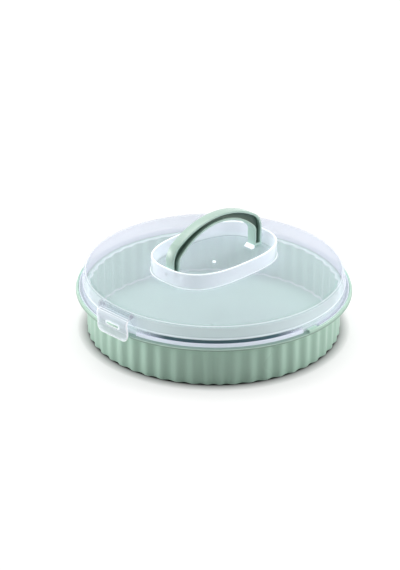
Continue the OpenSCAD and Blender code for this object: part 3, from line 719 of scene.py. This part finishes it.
def makeClip(v):
    base, face, back = v["hingeHeight"] - v["length"], v["face"], v["face"] - v["wall"]
    flap = slab([(face + x, base + z) for x, z in v["front"]] + [(back + x, base + z) for x, z in v["rear"]],
                v["width"])
    clip = finishObject(flap, "clipBlank", smooth=35)
    # rounded lower corners, cut from a block that spans the flap
    block = bmesh.new()
    bmesh.ops.create_cube(block, size=1)
    bmesh.ops.scale(block, verts=block.verts, vec=(20 * mm, v["width"] * mm, 60 * mm))
    bmesh.ops.translate(block, verts=block.verts, vec=(160 * mm, 0, (base + 30) * mm))
    corners = [e for e in block.edges if all(vert.co.z < (base + 1) * mm for vert in e.verts)
               and abs(e.verts[0].co.y - e.verts[1].co.y) < 1e-6]
    bmesh.ops.bevel(block, geom=corners, offset=v["corner"] * mm, offset_type="OFFSET", segments=12, profile=0.5,
                    affect="EDGES", material=-1)
    combine(clip, finishObject(block, "block"), "INTERSECT", smooth=35)
    barrel = rod(v["barrel"], v["width"], (v["hingeRadius"], 0, v["hingeHeight"]), (0, 1, 0), 64)
    combine(clip, finishObject(barrel, "barrel"), "UNION", smooth=35)
    slot = bmesh.new()
    bmesh.ops.create_cube(slot, size=1)
    bmesh.ops.scale(slot, verts=slot.verts,
                    vec=(12 * mm, 2 * v["slotHalf"] * mm, (v["slotHigh"] - v["slotLow"]) * mm))
    bmesh.ops.translate(slot, verts=slot.verts, vec=(face * mm, 0, (v["slotHigh"] + v["slotLow"]) / 2 * mm))
    upright = [e for e in slot.edges if abs(e.verts[0].co.x - e.verts[1].co.x) > 1 * mm]
    bmesh.ops.bevel(slot, geom=upright, offset=v["slotRound"] * mm, offset_type="OFFSET", segments=3, profile=0.5,
                    affect="EDGES", material=-1)
    combine(clip, finishObject(slot, "slot"), "DIFFERENCE", smooth=35)
    bm = bmesh.new()
    bm.from_mesh(clip.data)
    bmesh.ops.remove_doubles(bm, verts=bm.verts, dist=2e-6)
    bmesh.ops.dissolve_degenerate(bm, edges=bm.edges, dist=2e-6)
    softenEdges(bm, v["edge"], angle=50)
    # painted highlight along the edges, round the slot and at the upper bend, haze between them
    half, corner, band, bend = v["width"] / 2, v["corner"], v["border"], v["bend"]
    levels = (base + band, v["slotLow"] - band, v["slotHigh"] + band, base + bend - band)
    slant = (corner - band) * sin(pi / 4)
    cuts = [((0, side * y, 0), (0, 1, 0)) for side in (-1, 1) for y in (half - band, v["slotHalf"] + band)]
    cuts += [((0, 0, z), (0, 0, 1)) for z in levels]
    cuts += [((0, side * (half - corner + slant), base + corner - slant), (0, side, -1)) for side in (-1, 1)]
    for place, across in cuts:
        bmesh.ops.bisect_plane(bm, geom=bm.verts[:] + bm.edges[:] + bm.faces[:], plane_co=Vector(place) * mm,
                               plane_no=Vector(across).normalized())
    hazeAndPaintedLight = bm.verts.layers.float.get("hazeAndPaintedLight") or bm.verts.layers.float.new("hazeAndPaintedLight")
    for vert in bm.verts:
        y, z = abs(vert.co.y) / mm, vert.co.z / mm
        side, low = y - half + corner, base + corner - z
        inside = corner - hypot(side, low) if side > 0 and low > 0 else min(half - y, z - base)
        beside = max(y - v["slotHalf"], v["slotLow"] - z, z - v["slotHigh"])
        upper = z > base + bend + 0.3
        edge, middle = (v["topEdge"], v["clear"]) if upper else (1, v["haze"])
        share = max(0, min(1, inside / band, 1 if upper else beside / band, abs(base + bend - z) / band))
        # crease adds a painted highlight line along a bend in the flap
        vert[hazeAndPaintedLight] = edge + (middle - edge) * share + v["creaseHighlight"] * (abs(z - base - v["creaseAt"]) < 0.2)
    joinInto(bm, rod(v["pin"], 2 * v["pinReach"], (v["hingeRadius"], 0, v["hingeHeight"]), (0, 1, 0)))
    bpy.data.objects.remove(clip, do_unlink=True)
    return bm


clipShape = makeClip(clipValues)
turnToClip(clipShape)
clip = finishObject(clipShape, "sideClip", smooth=35)
dress(clip, "clip", "clip", clipPlastic)
print("clip made,", len(clip.data.polygons), "faces")


studioValues = {
    # the floor's colour as it lights the part, and as it is seen, where its own glow makes it white
    "floorColour": (0.68, 0.68, 0.68, 1), "seenColour": (0.4, 0.4, 0.4, 1), "floorGlow": 0.66,
    "paintedShadowColour": (0.02, 0.02, 0.02, 1), "floorReach": 6, "floorRoughness": 0.9, "floorSpecular": 0.1,
    # radii (m) where the painted contact shadow under the tub ends, where the floor's colour and its glow are full,
    # and between which the glow grows to white
    "paintedShadowTo": 0.1442, "paleFrom": 0.1476, "brightFrom": 0.16, "farOut": (0.5, 1.1),
    "worldStrength": 0.23, "lampAim": (0, 0, 0.05),
    # name, image-right, image-away, up (m), width, height (m), power (W)
    "lamps": (
        ("sideRight", 1.5, 0.1, 0.4, 0.9, 0.6, 11.5),
        ("sideLeft", -1.5, 0.1, 0.4, 0.9, 0.6, 13.0),
        ("overhead", 0.0, 0.5, 1.7, 1.6, 1.2, 23.5),
    ),
}
cameraValues = {
    "lens": 163.42, "sensor": 36, "clipStart": 0.1, "clipEnd": 30,
    "distance": 3.0, "elevation": 26.56, "azimuth": -45.2, "roll": 0.56,
    "shiftX": -0.0245, "shiftY": 0.0085, "aim": (0, 0, 0.0465),
}


def makeCamera(v):
    data = bpy.data.cameras.new("camera")
    camera = bpy.data.objects.new("camera", data)
    bpy.context.scene.collection.objects.link(camera)
    data.lens, data.sensor_width = v["lens"], v["sensor"]
    data.shift_x, data.shift_y = v["shiftX"], v["shiftY"]
    data.clip_start, data.clip_end = v["clipStart"], v["clipEnd"]
    a, e = radians(v["azimuth"]), radians(v["elevation"])
    back = Vector((sin(a) * cos(e), -cos(a) * cos(e), sin(e)))
    camera.rotation_mode = "QUATERNION"
    camera.location = Vector(v["aim"]) + back * v["distance"]
    camera.rotation_quaternion = (-back).to_track_quat("-Z", "Y") @ Quaternion((0, 0, 1), radians(v["roll"]))
    bpy.context.scene.camera = camera


def seenPlainly(nodes, links):
    # 1 for what the camera sees of the surround, straight, in gloss or through clear plastic
    path = nodes.new("ShaderNodeLightPath")
    level = path.outputs["Is Camera Ray"]
    for ray in ("Is Glossy Ray", "Is Transmission Ray"):
        step = nodes.new("ShaderNodeMath")
        step.operation = "MAXIMUM"
        links.new(level, step.inputs[0])
        links.new(path.outputs[ray], step.inputs[1])
        level = step.outputs[0]
    return level


def makeStudio(v, azimuth):
    bm = bmesh.new()
    bmesh.ops.create_grid(bm, x_segments=1, y_segments=1, size=v["floorReach"])
    floor = finishObject(bm, "floor")
    material = bpy.data.materials.new("paleFloor")
    material.use_nodes = True
    nodes, links = material.node_tree.nodes, material.node_tree.links
    surface = nodes["Principled BSDF"]
    place, radius = nodes.new("ShaderNodeTexCoord"), nodes.new("ShaderNodeVectorMath")
    radius.operation = "LENGTH"
    links.new(place.outputs["Object"], radius.inputs[0])

    def rise(low, high, start=0.0):
        step = nodes.new("ShaderNodeMapRange")
        step.inputs["From Min"].default_value, step.inputs["From Max"].default_value = low, high
        step.inputs["To Min"].default_value = start
        links.new(radius.outputs["Value"], step.inputs["Value"])
        return step.outputs["Result"]

    # painted contact shadow: the floor is near black just under the tub's edge
    under = nodes.new("ShaderNodeMix")
    under.data_type = "RGBA"
    under.inputs["A"].default_value = v["paintedShadowColour"]
    pale = nodes.new("ShaderNodeMix")
    pale.data_type = "RGBA"
    pale.inputs["A"].default_value, pale.inputs["B"].default_value = v["floorColour"], v["seenColour"]
    links.new(pale.outputs["Result"], under.inputs["B"])
    links.new(rise(v["paintedShadowTo"], v["paleFrom"]), under.inputs["Factor"])
    links.new(under.outputs["Result"], surface.inputs["Base Color"])
    surface.inputs["Roughness"].default_value = v["floorRoughness"]
    surface.inputs["Specular IOR Level"].default_value = v["floorSpecular"]
    surface.inputs["Emission Color"].default_value = (1, 1, 1, 1)
    seen = seenPlainly(nodes, links)
    glow, spread = nodes.new("ShaderNodeMath"), nodes.new("ShaderNodeMath")
    glow.operation = spread.operation = "MULTIPLY"
    links.new(rise(v["paintedShadowTo"], v["brightFrom"]), spread.inputs[0])
    links.new(rise(*v["farOut"], v["floorGlow"]), spread.inputs[1])
    links.new(spread.outputs[0], glow.inputs[1])
    links.new(seen, glow.inputs[0])
    links.new(seen, pale.inputs["Factor"])
    links.new(glow.outputs[0], surface.inputs["Emission Strength"])
    floor.data.materials.append(material)

    world = bpy.data.worlds.new("studio")
    bpy.context.scene.world = world
    world.use_nodes = True
    nodes, links = world.node_tree.nodes, world.node_tree.links
    level = nodes.new("ShaderNodeMapRange")
    level.inputs["To Min"].default_value = v["worldStrength"]
    links.new(seenPlainly(nodes, links), level.inputs["Value"])
    links.new(level.outputs["Result"], nodes["Background"].inputs["Strength"])
    nodes["Background"].inputs["Color"].default_value = (1, 1, 1, 1)

    a = radians(azimuth)
    right, away = Vector((cos(a), sin(a), 0)), Vector((-sin(a), cos(a), 0))
    for name, side, depth, up, width, height, power in v["lamps"]:
        lamp = bpy.data.lights.new(name, "AREA")
        lamp.shape, lamp.size, lamp.size_y, lamp.energy = "RECTANGLE", width, height, power
        holder = bpy.data.objects.new(name, lamp)
        bpy.context.scene.collection.objects.link(holder)
        holder.location = right * side + away * depth + Vector((0, 0, up))
        holder.rotation_mode = "QUATERNION"
        holder.rotation_quaternion = (Vector(v["lampAim"]) - holder.location).to_track_quat("-Z", "Y")


makeCamera(cameraValues)
makeStudio(studioValues, cameraValues["azimuth"])
bpy.context.scene.view_settings.view_transform = "Standard"
print("studio made")
